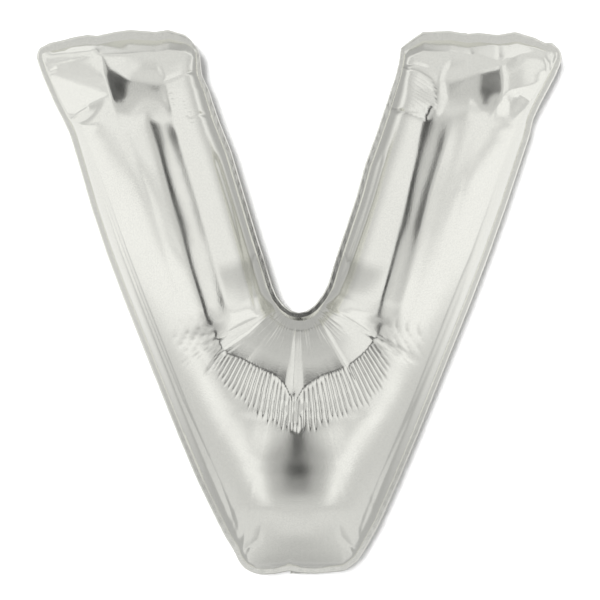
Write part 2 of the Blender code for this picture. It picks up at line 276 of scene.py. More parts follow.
# Below the pleats the letter has a raised line down its middle, with a wide bulge on either side of it. They
# come in and go out between these places down the photo.
BELLY_MIDDLE = 297.0
BELLY_CURVE = 0.0024
BELLY_HALF_WIDE = 62
BELLY_START = (397, 420)
BULGE_HALF_WIDE = 46
BULGE_START = (420, 460)
BULGE_END = (505, 540)
BELLY_LINE = (
    # down the middle of the letter, height
    (396, 59), (405, 59.2), (412, 59.2), (420, 59.3), (430, 59.5), (437, 59.7), (450, 59.9), (462, 60),
    (473, 60.3), (490, 60.4), (503, 60.1), (515, 58.6), (530, 53.2), (545, 43.3), (560, 29), (569, 0),
)


def ease_in(x, low, high):
    """0 below low, 1 above high and smooth between."""
    t = np.clip((x - low) / (high - low), 0, 1)
    return t * t * (3 - 2 * t)


def ease_out(x, low, high):
    """1 below low, 0 above high and smooth between."""
    return ease_in(-x, -high, -low)


def round_point(flat, centre):
    """How far each point is from a centre, and its angle from straight down in degrees."""
    off = flat - np.array(centre)
    return np.hypot(off[..., 0], off[..., 1]), np.degrees(np.arctan2(off[..., 0], off[..., 1]))


def shape_fan(flat, out):
    """The even slope from the notch up to the ridge where the pleats start."""
    radius, angle = round_point(flat, NOTCH_CENTRE)
    ridge = smooth_table(np.clip(angle, GATHERS[0][0], GATHERS[-1][0]), GATHERS, 1)
    crossing = (radius > ridge).argmax(axis=1)
    rows = np.nonzero(crossing)[0]
    at = crossing[rows]
    before = (radius - ridge)[rows, at - 1]
    beyond = (radius - ridge)[rows, at]
    part = before / (before - beyond)
    height = out[rows, at - 1] * (1 - part) + out[rows, at] * part
    aside = np.abs(angle[rows, at - 1] * (1 - part) + angle[rows, at] * part)
    soften(height, RIDGE_TURNS)
    weight = ease_out(aside, *FAN_SIDES)
    reach = FAN_REACH + (ridge - FAN_REACH) * ease_in(np.abs(angle), *FAN_MIDDLE)
    for i, top, hold in zip(rows, height, weight):
        share = (radius[i] - NOTCH_RADIUS) / (reach[i] - NOTCH_RADIUS)
        rise = smooth_table((ridge[i] - NOTCH_RADIUS) / (reach[i] - NOTCH_RADIUS), FAN_SLOPE) ** 0.5
        slope = top * smooth_table(np.clip(share, 0, FAN_SLOPE[-1][0]), FAN_SLOPE) / rise
        peak = top * rise
        crest = 1 - ease_in(radius[i] - ridge[i], CREST_PX, CREST_PX + CREST_FADE_PX)
        out[i] += hold * np.where(radius[i] < ridge[i], slope - out[i], crest * (peak - out[i]))


def shape_belly(flat, out):
    """The line down the middle of the letter below the pleats, and the wide bulge on either side of it."""
    middle = len(flat) // 2
    down = flat[middle, :, 1]
    change = smooth_table(down, BELLY_LINE) - out[middle]
    change = np.interp(flat[..., 1], down, change * ease_in(down, *BELLY_START))
    beside = np.abs(flat[..., 0] - BELLY_MIDDLE)
    out += change * np.exp(-2 * (beside / BELLY_HALF_WIDE) ** 2)
    bulge = smooth_table(flat[..., 1], BELLY_LINE) - 0.5 * BELLY_CURVE * beside ** 2
    share = np.exp(-(beside / BULGE_HALF_WIDE) ** 4)
    share = share * ease_in(flat[..., 1], *BULGE_START) * ease_out(flat[..., 1], *BULGE_END)
    out += share * (bulge - out)


# The film at the top of each arm folds into flat facets between these corners: a lip along the seam, a ridge
# behind it, a strap to the inside edge, and the end of the arm's own tube. A corner whose height is None lies
# wherever the sheet already is.
END_CORNERS = {
    # corner: across, down, height at the left arm, and the same at the right arm
    "outer_top": ((44, 55, 0), (556, 55, 0)), "outer_mid": ((46, 74, 0), (548, 80, None)),
    "outer_low": ((62, 119, 0), (533, 106, None)), "outer_tube": ((95, 124, None), (508, 122, None)),
    "seam_outer": ((70, 44, 0), (535, 44, 0)), "seam_split": ((99, 40, 0), (502, 40, 0)),
    "lip_outer": ((62, 52, 11), (541, 52, None)), "lip_mid": ((82, 49, 23), (522, 55, None)),
    "lip_split": ((98, 48, 30), (505, 60, 28)), "lip_fold": ((104, 48, 16), (499, 50, 14)),
    "apex": ((102, 56, 34), (504, 66, 33.5)), "ridge": ((106, 78, 36.9), (504, 78, 35.3)),
    "heel": ((111, 98, 38.5), (504, 93, 37.5)), "bend": ((112, 69, 34.7), (498, 69, 33.1)),
    "brow": ((130, 81, 34), (480, 73, 31.5)), "brow_end": ((146, 84, 33.9), (466, 79, 32.1)),
    "sole": ((127, 98, 36.4), (478, 94, 34.4)), "toe": ((146, 101, 36.4), (468, 96, 34.5)),
    "strap_top": ((165, 85, 33), (441, 84, 31.8)), "strap_side": ((167, 104, 36.4), (442, 102, 35.2)),
    "peak": ((155, 53, None), (450, 50, None)), "tube": ((124, 132, None), (488, 126, None)),
    "tube_inner": ((152, 126, None), (464, 124, None)), "strap_low": ((176, 126, None), (434, 124, None)),
}
END_FACETS = (
    "outer_top outer_mid lip_outer", "outer_mid lip_outer ridge", "lip_outer lip_mid ridge",
    "lip_mid lip_split ridge", "lip_split apex ridge", "outer_mid ridge heel", "outer_mid outer_low heel",
    "outer_low outer_tube heel", "outer_top seam_outer lip_outer", "seam_outer lip_outer lip_mid",
    "seam_outer seam_split lip_mid", "seam_split lip_split lip_mid", "seam_split lip_split lip_fold",
    "lip_split apex lip_fold", "seam_split lip_fold peak", "lip_fold apex peak", "apex bend peak",
    "bend brow peak", "brow brow_end peak", "brow_end strap_top peak", "apex bend ridge", "bend brow sole",
    "bend ridge sole", "ridge heel sole", "brow brow_end sole", "brow_end toe sole",
    "brow_end toe strap_side", "brow_end strap_side strap_top", "heel outer_tube tube", "heel sole tube",
    "sole toe tube", "toe tube tube_inner", "toe strap_side tube_inner", "strap_side tube_inner strap_low",
)
FACET_HOLD = 1.6
FACET_TURNS = 6


def press_facets(flat, out, arm):
    """Makes the top of an arm flat facets between named corners."""
    settled = out.copy()
    for facet in END_FACETS:
        corners = [END_CORNERS[name][arm] for name in facet.split()]
        points = np.array([corner[:2] for corner in corners], float)
        heights = []
        holds = []
        for point, corner in zip(points, corners):
            nearest = np.argmin(np.linalg.norm(flat - point, axis=-1))
            given = corner[2]
            heights.append(out.ravel()[nearest] if given is None else given)
            holds.append(0.0 if given is None else 1.0)
        sides = np.array([points[1] - points[0], points[2] - points[0]]).T
        part = (flat - points[0]) @ np.linalg.inv(sides).T
        shares = np.stack([1 - part.sum(axis=-1), part[..., 0], part[..., 1]], axis=-1)
        inside = (shares > -1e-6).all(axis=-1)
        height = shares @ np.array(heights)
        hold = np.clip(FACET_HOLD * (shares @ np.array(holds)), 0, 1)
        settled = np.where(inside, out + hold * (height - out), settled)
    change = settled - out
    soften(change, FACET_TURNS, both_ways=True)
    out += change


def near_line(flat, line):
    """How far each point lies from a line, and how far along the line that is, 0 to 1."""
    line = np.array(line, float)
    steps = np.diff(line, axis=0)
    lengths = np.linalg.norm(steps, axis=1)
    reach = reach_along(line)
    nearest = np.full(flat.shape[:2], 1e9)
    way = np.zeros(flat.shape[:2])
    for start, step, length, passed in zip(line, steps, lengths, reach):
        off = flat - start
        t = np.clip((off @ step) / length ** 2, 0, 1)
        gap = np.linalg.norm(off - t[..., None] * step, axis=-1)
        closer = gap < nearest
        nearest = np.where(closer, gap, nearest)
        way = np.where(closer, (passed + t * length) / reach[-1], way)
    return nearest, way


def press_crease(flat, relief, depth, width, rounding, start, end, line):
    """Pushes a crease in or out along a line, fading at its ends over a start and an end share of it."""
    line = np.array(line, float)
    low = line.min(axis=0) - width - rounding
    high = line.max(axis=0) + width + rounding
    inside = ((flat > low) & (flat < high)).all(axis=-1)
    if not inside.any():
        return
    rows = np.nonzero(inside.any(axis=1))[0]
    columns = np.nonzero(inside.any(axis=0))[0]
    part = np.s_[rows[0]:rows[-1] + 1, columns[0]:columns[-1] + 1]
    gap, way = near_line(flat[part], line)
    fade = np.ones_like(gap)
    if start:
        fade *= np.clip(way / start, 0, 1)
    if end:
        fade *= np.clip((1 - way) / end, 0, 1)
    fade = fade * fade * (3 - 2 * fade)
    gap = np.hypot(gap, rounding) - rounding
    shape = np.clip(1 - gap / width, 0, 1) ** 2
    relief[part] += depth * fade * shape


# The creases that can be told apart in the photo. One with a negative depth is pressed in.
CREASES = (
    # depth, width, rounding, start, end, line. All but start and end are in pixels.
    # The left arm.
    (-1.0, 5, 0, 0, 0.2, ((97, 33), (99, 45), (102, 56))),
    (0.5, 5, 0, 0.05, 0.5, ((102, 55), (104, 73), (109, 88), (112, 98), (122, 118))),
    (-0.5, 8, 2, 0.05, 0.1, ((112, 98), (122, 122), (133, 150), (151, 200), (166, 250), (182, 300))),
    (2.0, 38, 6, 0.09, 0.12, ((144, 94), (150, 125), (158, 150), (171, 200), (185, 250), (200, 300),
        (210, 336))),
    (1.1, 10, 3, 0.16, 0.1, ((170, 104), (175, 120), (184, 150), (200, 200), (214, 250), (227, 300),
        (233, 322))),
    (1.4, 30, 5, 0.4, 0.1, ((176, 220), (185, 250), (200, 300), (210, 336))),
    (0.4, 30, 4, 0.12, 0.5, ((144, 94), (150, 125), (157, 150), (170, 200), (182, 240))),
    (-0.7, 5, 1, 0.1, 0.1, ((214, 150), (221, 170), (232, 205), (240, 235), (252, 285), (258, 318))),
    (-1.6, 6, 0, 0.15, 0.15, ((56, 48), (72, 51), (95, 49))),
    (-0.9, 4, 0, 0.15, 0.15, ((48, 73), (58, 69))),
    (-1.2, 5, 0, 0.15, 0.15, ((68, 122), (78, 113), (90, 106))),
    (-1.1, 4, 0, 0, 0.2, ((201, 71), (185, 74), (172, 80), (163, 84))),
    (-0.7, 4, 0, 0, 0.2, ((216, 117), (200, 115), (184, 119))),
    # The right arm.
    (-1.1, 4, 0, 0, 0.2, ((401, 64), (417, 66), (430, 70))),
    (-0.8, 4, 0, 0, 0.2, ((385, 113), (400, 112), (422, 114))),
    (-0.7, 4, 0, 0, 0.2, ((467, 34), (469, 48), (472, 62))),
    (-0.8, 4, 0, 0, 0.2, ((498, 36), (498, 50), (498, 62))),
    (-0.35, 8, 2, 0.05, 0.3, ((505, 95), (494, 104), (484, 124), (470, 150), (460, 200), (447, 250),
        (435, 300))),
    (2.0, 38, 6, 0.07, 0.12, ((433, 92), (427, 106), (418, 124), (414, 153), (403, 200), (392, 250),
        (380, 300), (373, 325))),
    (1.2, 30, 5, 0.4, 0.1, ((401, 220), (394, 250), (381, 300), (374, 325))),
    (1.1, 30, 4, 0.12, 0.5, ((433, 92), (427, 106), (418, 124), (414, 153), (402, 200), (394, 240))),
    (0.9, 9, 3, 0.2, 0.1, ((453, 110), (443, 150), (430, 193), (416, 250), (402, 300), (395, 325))),
    (-0.7, 5, 1, 0.1, 0.2, ((384, 150), (380, 162), (372, 190), (364, 215), (352, 250), (335, 295))),
    (-0.5, 4, 0, 0.15, 0.15, ((517, 94), (534, 104))),
    (0.4, 6, 0, 0.15, 0.15, ((505, 62), (520, 55), (545, 48))),
    # The spokes of the fan.
    (-0.9, 4, 0, 0, 0.2, ((272, 312), (250, 333), (225, 350), (203, 378))),
    (-0.7, 4, 0, 0.1, 0.3, ((262, 316), (240, 327), (215, 341), (190, 352))),
    (-0.6, 4, 0, 0.3, 0.1, ((296, 320), (295, 350), (293, 392))),
    (-0.7, 4, 0, 0.1, 0.3, ((314, 314), (325, 330), (347, 368), (366, 398))),
    (-0.8, 4, 0, 0, 0.3, ((322, 306), (345, 318), (372, 335), (400, 350), (425, 366))),
    (-0.7, 4, 0, 0.2, 0.3, ((352, 326), (385, 344), (408, 362))),
    # Below the pleats.
    (-0.6, 18, 8, 0.1, 0.1, ((205, 345), (236, 388), (254, 407), (272, 421), (298, 430), (328, 423),
        (350, 411), (368, 401), (384, 380), (398, 350))),
    (-1.6, 7, 0, 0.1, 0.2, ((294, 396), (295, 412), (297, 432))),
    (0.15, 14, 6, 0.1, 0.6, ((297, 424), (297, 470))),
    # The sides and the foot.
    (-1.4, 6, 0, 0.15, 0.15, ((180, 430), (190, 455), (203, 482))),
    (-0.9, 6, 1, 0.1, 0.1, ((86, 150), (106, 200), (124, 250), (143, 300), (163, 350), (183, 400), (201, 440),
        (219, 480), (234, 520), (243, 545))),
    (-0.6, 6, 1, 0.2, 0.1, ((474, 250), (456, 300), (436, 350), (415, 400), (397, 440), (379, 480),
        (364, 520), (355, 545))),
    (-1.4, 5, 0, 0, 0.3, ((289, 568), (289, 556))),
    (-1.6, 7, 0, 0, 0.4, ((246, 548), (258, 538), (262, 520))),
    (-1.6, 7, 0, 0, 0.4, ((354, 548), (342, 536), (338, 520))),
)

# Pleats gathered below the fan, a comb of lines where each arm meets it, and fine lines inside the notch. A
# step is degrees from line to line. A pair is where a band of lines starts or ends, and how far it fades.
PLEAT_CENTRE = (299.5, 246.0)
PLEAT_STEP = 1.75
PLEAT_DEPTH_PX = 0.9
PLEAT_RAGGED_PX = 3
PLEAT_FADES_PX = (2, 9)
PLEAT_SIDES = (60, 6)
COMB_STEP = 1.9
COMB_DEPTH_PX = 0.30
COMB_RADIUS = 112
COMB_HALF_WIDE = 20
COMB_START = (56, 5)
COMB_END = (80, 8)
FINE_STEP = 4.2
FINE_DEPTH_PX = 0.28
FINE_START = (16, 8)
FINE_END = (62, 25)
FINE_SIDES = (75, 10)
PINCH_WIDE = 0.19
WANDER_POINTS = 4096


def wander(x, seed):
    """A smooth random line between -1 and 1."""
    values = np.random.default_rng(seed).uniform(-1, 1, WANDER_POINTS)
    i = np.floor(x).astype(int)
    t = x - i
    t = t * t * (3 - 2 * t)
    return values[i % WANDER_POINTS] * (1 - t) + values[(i + 1) % WANDER_POINTS] * t


def pinched(x):
    """A narrow pinch at each whole number: 1 in the pinch and 0 between."""
    return np.exp(-((x - np.round(x)) / PINCH_WIDE) ** 2)


def fade_in(x, start, fade):
    """0 up to a start, then 1 once x is a fade beyond it."""
    return np.clip((x - start) / fade, 0, 1)


def fade_out(x, end, fade):
    """1 until x is a fade short of an end, then down to 0 at it."""
    return np.clip((end - x) / fade, 0, 1)


def gather_at_notch(flat, relief, seed):
    """Pleats of film gathered round the notch like the spokes of a fan."""
    radius, angle = round_point(flat, NOTCH_CENTRE)
    inner = smooth_table(angle, GATHERS, 1)
    outer = smooth_table(angle, GATHERS, 2)
    spoke = round_point(flat, PLEAT_CENTRE)[1] / PLEAT_STEP
    spoke = (spoke + 0.2 * wander(spoke / 3 + 50, seed)
             + 0.006 * (radius - 95) * wander(spoke / 5 + 90, seed + 1))
    size = 0.8 + 0.2 * wander(spoke * 0.9 + 300, seed + 2)
    ragged = PLEAT_RAGGED_PX * wander(spoke * 1.3 + 10, seed + 3)
    band = fade_in(radius, inner + np.abs(ragged), PLEAT_FADES_PX[0])
    band = band * fade_out(radius, outer + ragged, PLEAT_FADES_PX[1])
    deeper = 0.6 + 0.4 * np.clip((radius - inner) / (outer - inner), 0, 1)
    relief -= PLEAT_DEPTH_PX * size * deeper * band * fade_out(np.abs(angle), *PLEAT_SIDES) * pinched(spoke)
    comb = angle / COMB_STEP + 0.3 * wander(angle / 3 + 10, seed + 4)
    band = np.exp(-((radius - COMB_RADIUS) / COMB_HALF_WIDE) ** 4)
    band = band * fade_in(np.abs(angle), *COMB_START) * fade_out(np.abs(angle), *COMB_END)
    relief -= COMB_DEPTH_PX * band * pinched(comb) * (0.6 + 0.4 * wander(comb + 30, seed + 5))
    fine = angle / FINE_STEP + 0.3 * wander(angle / 7 + 20, seed + 6)
    band = fade_in(radius, *FINE_START) * fade_out(radius, *FINE_END) * fade_out(np.abs(angle), *FINE_SIDES)
    relief -= FINE_DEPTH_PX * band * pinched(fine) * (0.5 + 0.5 * wander(fine + 77, seed + 7))


# The strap at the top of each arm, where the inside edge draws the film into short puckers.
LEFT_STRAP = ((199, 71), (204, 88), (210, 104), (216, 120))
RIGHT_STRAP = ((401, 65), (396, 84), (391, 100), (385, 114))
RIGHT_STRAP_REACH = ((0, 12), (0.2, 36), (0.4, 42), (0.6, 45), (0.8, 43), (1, 36))
STRAP_PUCKERS = (
    # seed, line down the inside edge, lift, slant, start, end, length, depth, (way, reach)
    (11, LEFT_STRAP, 0.0, 0.0, 0.24, 0.52, 6, 0.16, ((0, 36), (1, 37))),
    (12, LEFT_STRAP, 0.0, 0.0, 0.42, 0.97, 8, 0.16, ((0, 26), (1, 26))),
    (13, RIGHT_STRAP, 0.6, 0.3, 0.05, 0.85, 30, 0.16, RIGHT_STRAP_REACH),
    (14, RIGHT_STRAP, 0.0, 0.3, 0.18, 0.62, 5, 0.40, RIGHT_STRAP_REACH),
)
STRAP_PX = 49
PUCKER_STEP_PX = 3.4
PUCKER_END_FADE = 0.03
PUCKER_TIP_PX = 1.5
LIFT_TIP_PX = 3


def gather_straps(flat, relief):
    """Presses the short puckers of both straps, and lifts the film of the right one a little."""
    for seed, line, lift, slant, start, end, length, depth, reaches in STRAP_PUCKERS:
        gap, way = near_line(flat, line)
        reach = smooth_table(np.clip(way, 0, 1), reaches)
        fold = (way * STRAP_PX - slant * gap) / PUCKER_STEP_PX
        fold = fold + 0.2 * wander(way * 10 + 3, seed)
        reach = reach + 1.2 * wander(fold * 0.9 + 8, seed + 1)
        shown = fade_in(way, start, PUCKER_END_FADE) * fade_out(way, end, PUCKER_END_FADE)
        body = fade_out(gap, reach, PUCKER_TIP_PX) * np.clip((gap - reach + length) / (0.4 * length), 0, 1)
        relief += shown * lift * fade_out(gap, reach, LIFT_TIP_PX)
        relief -= depth * shown * body * pinched(fold) * (0.75 + 0.25 * wander(fold + 60, seed + 5))


# Points below the evened-out sheet round them, in the pleats, get painted shade, in full at GROOVE_DEPTH_PX
# below it.
GROOVE_DEPTH_PX = 0.45
GROOVE_TURNS = 8
RELIEF_FADE_PX = 12
FILM_GAP = 0.0004


def shade_in_grooves(relief):
    """How far each point lies below the sheet round it, 0 to 1: how much painted shade the film gets there.
    """
    level = relief.copy()
    soften(level, GROOVE_TURNS, both_ways=True)
    return np.clip((level - relief) / GROOVE_DEPTH_PX, 0, 1)


def sheet_points(flat, out, relief, side):
    """The sheet in metres, with its relief pushed square to the blown-up surface."""
    place = np.stack([flat[..., 0], out, flat[..., 1]], axis=-1)
    square = np.cross(np.gradient(place, axis=1), np.gradient(place, axis=0))
    square /= np.linalg.norm(square, axis=-1, keepdims=True) + 1e-9
    square *= np.sign(square[..., 1:2] + 1e-12)
    place = place + square * (relief * np.clip(out / RELIEF_FADE_PX, 0, 1))[..., None]
    x = (place[..., 0] - MIDDLE_PX) * PIXEL
    y = side * (place[..., 1] * PIXEL + FILM_GAP)
    z = (FOOT_PX - place[..., 2]) * PIXEL
    return np.stack([x, y, z], axis=-1)


def new_object(name, data):
    """An object of a mesh, a lamp or a camera, in the scene."""
    thing = bpy.data.objects.new(name, data)
    bpy.context.scene.collection.objects.link(thing)
    return thing


def grid_object(name, points, material, flip=False, ring=False, kept=None, painted_groove_shade=None):
    """A smooth quad mesh over a grid of points, with the painted shade of each point deep in a pleat."""
    rows, columns = points.shape[:2]
    number = np.arange(rows * columns).reshape(rows, columns)
    if ring:
        number = np.vstack([number, number[:1]])
    quads = np.stack([number[:-1, :-1], number[1:, :-1], number[1:, 1:], number[:-1, 1:]], axis=-1)
    quads = quads.reshape(-1, 4) if kept is None else quads[kept]
    if flip:
        quads = quads[:, ::-1]
    mesh = bpy.data.meshes.new(name)
    mesh.from_pydata(points.reshape(-1, 3).tolist(), [], quads.tolist())
    mesh.polygons.foreach_set("use_smooth", [True] * len(mesh.polygons))
    if painted_groove_shade is not None:
        mesh.attributes.new("painted_groove_shade", "FLOAT", "POINT").data.foreach_set("value", painted_groove_shade.ravel())
    mesh.materials.append(material)
    return new_object(name, mesh)


def foil_grain_group():
    """Fine grain of the rolled film and its coat: a bump height and a change of gloss."""
    group = bpy.data.node_groups.new("foil_grain", "ShaderNodeTree")
    for name, size in (("Grain Size", 420), ("Cloud Size", 14)):
        group.interface.new_socket(name, in_out="INPUT", socket_type="NodeSocketFloat").default_value = size
    for name in ("Height", "Cloud"):
        group.interface.new_socket(name, in_out="OUTPUT", socket_type="NodeSocketFloat")
    start = group.nodes.new("NodeGroupInput")
    end = group.nodes.new("NodeGroupOutput")
    place = group.nodes.new("ShaderNodeTexCoord")
    for size, detail, result in (("Grain Size", 2.0, "Height"), ("Cloud Size", 4.0, "Cloud")):
        noise = group.nodes.new("ShaderNodeTexNoise")
        noise.inputs["Detail"].default_value = detail
        group.links.new(place.outputs["Object"], noise.inputs["Vector"])
        group.links.new(start.outputs[size], noise.inputs["Scale"])
        group.links.new(noise.outputs["Fac"], end.inputs[result])
    return group


def ranged(tree, value, before, after, interpolation="LINEAR"):
    """A value moved from one range to another."""
    node = tree.nodes.new("ShaderNodeMapRange")
    node.interpolation_type = interpolation
    for name, limit in zip(("From Min", "From Max", "To Min", "To Max"), (*before, *after)):
        node.inputs[name].default_value = limit
    tree.links.new(value, node.inputs["Value"])
    return node.outputs["Result"]


foil_grain = foil_grain_group()
SILVER = (0.84, 0.84, 0.79)
# GROOVE_SHADE is the share of the silver that the painted shade deep in a pleat leaves.
GROOVE_SHADE = 0.42
NOISE_RANGE = (0.3, 0.7)
FILM_ROUGHNESS = (0.12, 0.20)
FILM_SPECKLE = (0.955, 1.035)
GRAIN_BUMP = 0.07
GRAIN_HIGH = 0.001


def new_material(name):
    """A material with nodes, its node tree and its shader."""
    material = bpy.data.materials.new(name)
    material.use_nodes = True
    return material, material.node_tree, material.node_tree.nodes["Principled BSDF"]


def silver_film(name):
    """Bright metal-coated film with faint grain, clouds of dullness and painted shade deep in its pleats."""
    material, tree, shader = new_material(name)
    nodes, links = tree.nodes, tree.links
    shader.inputs["Metallic"].default_value = 1.0
    shader.inputs["Base Color"].default_value = (*SILVER, 1.0)
    grain = nodes.new("ShaderNodeGroup")
    grain.node_tree = foil_grain
    links.new(ranged(tree, grain.outputs["Cloud"], NOISE_RANGE, FILM_ROUGHNESS), shader.inputs["Roughness"])
    bumps = nodes.new("ShaderNodeBump")
    bumps.inputs["Strength"].default_value = GRAIN_BUMP
    bumps.inputs["Distance"].default_value = GRAIN_HIGH
    links.new(grain.outputs["Height"], bumps.inputs["Height"])
    links.new(bumps.outputs["Normal"], shader.inputs["Normal"])
    # Painted shade: the colour goes from silver towards GROOVE_SHADE times silver where a point lies deep in
    # a pleat.
    painted_groove_shade = nodes.new("ShaderNodeAttribute")
    painted_groove_shade.attribute_name = "painted_groove_shade"
    tone = nodes.new("ShaderNodeMix")
    tone.data_type = "RGBA"
    tone.inputs["A"].default_value = (*SILVER, 1.0)
    tone.inputs["B"].default_value = (*[GROOVE_SHADE * part for part in SILVER], 1.0)
    links.new(painted_groove_shade.outputs["Fac"], tone.inputs["Factor"])
    grained = nodes.new("ShaderNodeVectorMath")
    grained.operation = "SCALE"
    links.new(tone.outputs["Result"], grained.inputs[0])
    links.new(ranged(tree, grain.outputs["Height"], NOISE_RANGE, FILM_SPECKLE), grained.inputs["Scale"])
    links.new(grained.outputs["Vector"], shader.inputs["Base Color"])
    return material


letter_rows = smooth_table(np.linspace(0, 1, ROWS + 1), ROW_SPREAD)
flat_letter, stand_out = blown_up(letter_rows)
shape_fan(flat_letter, stand_out)
shape_belly(flat_letter, stand_out)
for arm in (0, 1):
    press_facets(flat_letter, stand_out, arm)
stand_out[[0, -1]] = 0
stand_out[:, [0, -1]] = 0
front_creases = np.zeros_like(stand_out)
for crease in CREASES:
    press_crease(flat_letter, front_creases, *crease)
front_pleats = np.zeros_like(stand_out)
gather_at_notch(flat_letter, front_pleats, seed=1)
gather_straps(flat_letter, front_pleats)
front_points = sheet_points(flat_letter, stand_out, front_creases + front_pleats, -1)
front = grid_object("front_sheet", front_points, silver_film("front_silver_film"), flip=True,
                    painted_groove_shade=shade_in_grooves(front_pleats))
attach(front, "root")
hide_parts("front_panel")

# Back sheet. The back of the letter, cut from the same film to the same outline and heat welded to the front
# sheet. The weld gathers both at the same places, so it creases much as the front does, but each fold lies a
# little differently.
CREASE_MOVE_PX = 2.5
CREASE_STRENGTH = (0.6, 1.1)

back_creases = np.zeros_like(stand_out)
chance = np.random.default_rng(7)
for depth, width, rounding, start, end, line in CREASES:
    moved = np.array(line) + chance.normal(0, CREASE_MOVE_PX, (len(line), 2))
    strength = chance.uniform(*CREASE_STRENGTH)
    press_crease(flat_letter, back_creases, depth * strength, width, rounding, start, end, moved)
back_pleats = np.zeros_like(stand_out)
gather_at_notch(flat_letter, back_pleats, seed=21)
gather_straps(flat_letter, back_pleats)
back_points = sheet_points(flat_letter, stand_out, back_creases + back_pleats, 1)
back = grid_object("back_sheet", back_points, silver_film("back_silver_film"), painted_groove_shade=shade_in_grooves(back_pleats))
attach(back, "root")
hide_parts("back_panel")

# Weld rim. The flat band round the letter, about 9 mm wide, where the edges of both sheets are heat sealed to
# each other and cut off. It is made of the same two films, and the sealing leaves it finely ruffled.
RIM_RINGS = (-0.3, 0.0, 0.35, 0.7, 1.0)
RIM_THICK = 0.0006
RUFFLE_DEEP = 0.00012
RUFFLE_STEP_PX = 1.9


def loop_of(grid):
    """The points along the four edges of a grid, once round."""
    return np.concatenate([grid[:-1, 0], grid[-1, :-1], grid[:0:-1, -1], grid[0, :0:-1]])


def two_films(thing, thickness):
    """Gives a mesh the thickness of two welded films, half to each side."""
    thick = thing.modifiers.new("two_films", "SOLIDIFY")
    thick.thickness = thickness
    thick.offset = 0.0


seam_loop = loop_of(flat_letter)
way = closer_at_edges(np.linspace(0, 1, COLUMNS + 1))
edge_loop = loop_of(across_letter(letter_rows, np.tile(way, (ROWS + 1, 1))))
reach = reach_along(edge_loop)
ruffle = np.sin(reach / RUFFLE_STEP_PX + 2 * wander(reach / 9, 40)) * (0.6 + 0.4 * wander(reach / 14, 41))
rim = []
for share in RIM_RINGS:
    ring = seam_loop * (1 - share) + edge_loop * share
    x = (ring[:, 0] - MIDDLE_PX) * PIXEL
    z = (FOOT_PX - ring[:, 1]) * PIXEL
    rim.append(np.stack([x, -RUFFLE_DEEP * share * ruffle, z], axis=-1))
weld = grid_object("weld_rim", np.stack(rim, axis=1), silver_film("weld_silver_film"), ring=True)
two_films(weld, RIM_THICK)
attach(weld, "root")
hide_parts("weld_flange")

# Hang tabs. A short flap of the same two films, left on the top seam of each arm as the letter is cut out and
# folded back behind it. Each is punched for a ribbon, with a ring pressed round the hole to stop it tearing.
TAB_CELL = 0.001
TAB_THICK = 0.0003
TAB_ROUND = 0.006
TAB_HOLE = 0.0033
TAB_HOLE_PAST_FOLD = 0.0177
TAB_FOLD = 0.002
TAB_INSET = 0.0004
TAB_DROOP = 1.4
TAB_WAVE = 0.0003
TAB_WAVES = 700
TAB_RING_OUT = 0.0022
TAB_RING_WIDE = 0.0007
TAB_RING_HIGH = 0.00035
tab_film = silver_film("tab_silver_film")


def hang_tab(name, node):
    """One tab over its solid: up from the seam, over the fold and back behind the arm."""
    low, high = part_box(node)
    middle = 0.5 * (low[0] + high[0])
    width = high[0] - low[0]
    leg = high[2] - low[2]
    reach = high[1] - low[1]
    hole = np.array([0.0, leg + TAB_HOLE_PAST_FOLD])
    xs = np.linspace(-width / 2, width / 2, round(width / TAB_CELL) + 1)
    ways = np.linspace(0, leg + reach, round((leg + reach) / TAB_CELL) + 1)
    flat = np.stack(np.meshgrid(ways, xs, indexing="ij"), axis=-1)[..., ::-1].copy()
    off = flat - hole
    far = np.linalg.norm(off, axis=-1)
    centre = 0.25 * (flat[:-1, :-1] + flat[1:, :-1] + flat[1:, 1:] + flat[:-1, 1:]) - hole
    kept = np.linalg.norm(centre, axis=-1) > TAB_HOLE
    rim = np.abs(far - TAB_HOLE) < 0.8 * TAB_CELL
    flat[rim] = hole + off[rim] / far[rim][:, None] * TAB_HOLE
    corner = np.array([width / 2 - TAB_ROUND, leg + reach - TAB_ROUND])
    for sign in (-1, 1):
        out = flat * np.array([sign, 1]) - corner
        beyond = (out > 0).all(axis=-1)
        length = np.linalg.norm(out, axis=-1)
        square = np.maximum(out[..., 0], out[..., 1])
        scale = np.where(beyond, square / np.maximum(length, 1e-9), 1)
        flat = np.where(beyond[..., None], (corner + out * scale[..., None]) * np.array([sign, 1]), flat)
    way = flat[..., 1]
    turn = np.clip((way - leg + TAB_FOLD / 2) / TAB_FOLD, 0, 1) * math.pi / 2
    bend = TAB_FOLD / (math.pi / 2)
    run = np.maximum(way - leg - TAB_FOLD / 2, 0)
    y = low[1] + TAB_INSET + bend * (1 - np.cos(turn)) + run
    z = low[2] + np.minimum(way, leg - TAB_FOLD / 2) + bend * np.sin(turn) - TAB_INSET
    z = z - TAB_DROOP * run ** 2 + TAB_WAVE * np.sin(flat[..., 0] * TAB_WAVES) * run / reach
    z = z + TAB_RING_HIGH * np.exp(-((far - TAB_HOLE - TAB_RING_OUT) / TAB_RING_WIDE) ** 2)
    tab = grid_object(name, np.stack([middle + flat[..., 0], y, z], axis=-1), tab_film, kept=kept)
    two_films(tab, TAB_THICK)
    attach(tab, "root")
    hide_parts(node)


for side in ("left", "right"):
    hang_tab("tab_" + side, "hang_tab_" + side)

